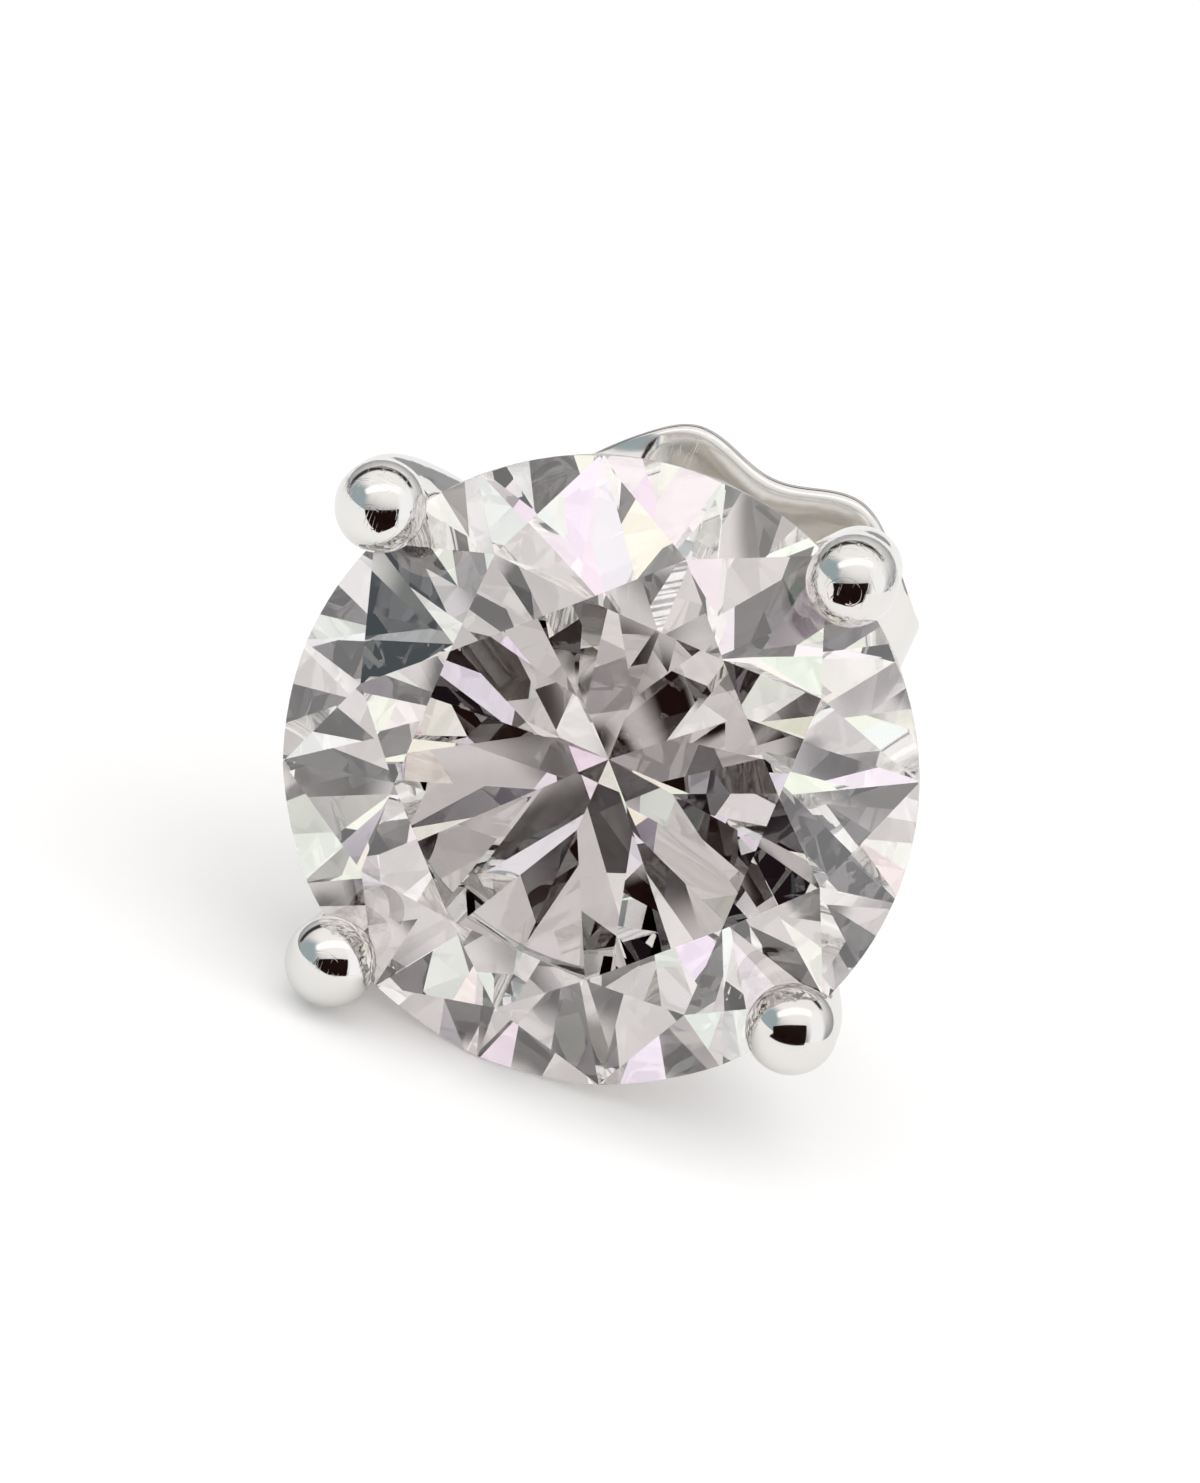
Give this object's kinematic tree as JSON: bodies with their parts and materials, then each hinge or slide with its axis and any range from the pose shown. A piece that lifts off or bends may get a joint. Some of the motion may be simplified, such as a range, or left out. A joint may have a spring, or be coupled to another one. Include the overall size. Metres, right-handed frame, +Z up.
{
  "type": "stud earring",
  "caption": "Round brilliant stud earring: a faceted stone in a wire basket of prongs on a straight post, with a butterfly back that slides along the post.",
  "frame": {"origin": "on the table that the stud lies on, below the middle of its bounding box", "axes": "+Z up from the table, +Y the way the post points back from the stone (the post's end droops by 8.8 degrees), +X to the right of a viewer who faces the stone"},
  "size_m": [0.0066, 0.0148, 0.0066],
  "materials": {
    "diamond": "clear and colourless, cut in polished flat facets",
    "white_gold": "bright polish, a faintly warm white, with fine handling marks"
  },
  "bodies": {
    "stud": {"stone": "diamond", "setting": "white_gold"},
    "back": {"butterfly_back": "white_gold"}
  },
  "joints": [
    {"name": "back_slide", "type": "slide", "parent": "stud", "child": "back", "axis": [0, 0.9882, -0.153], "range_m": [-0.00385, 0.006]}
  ]
}
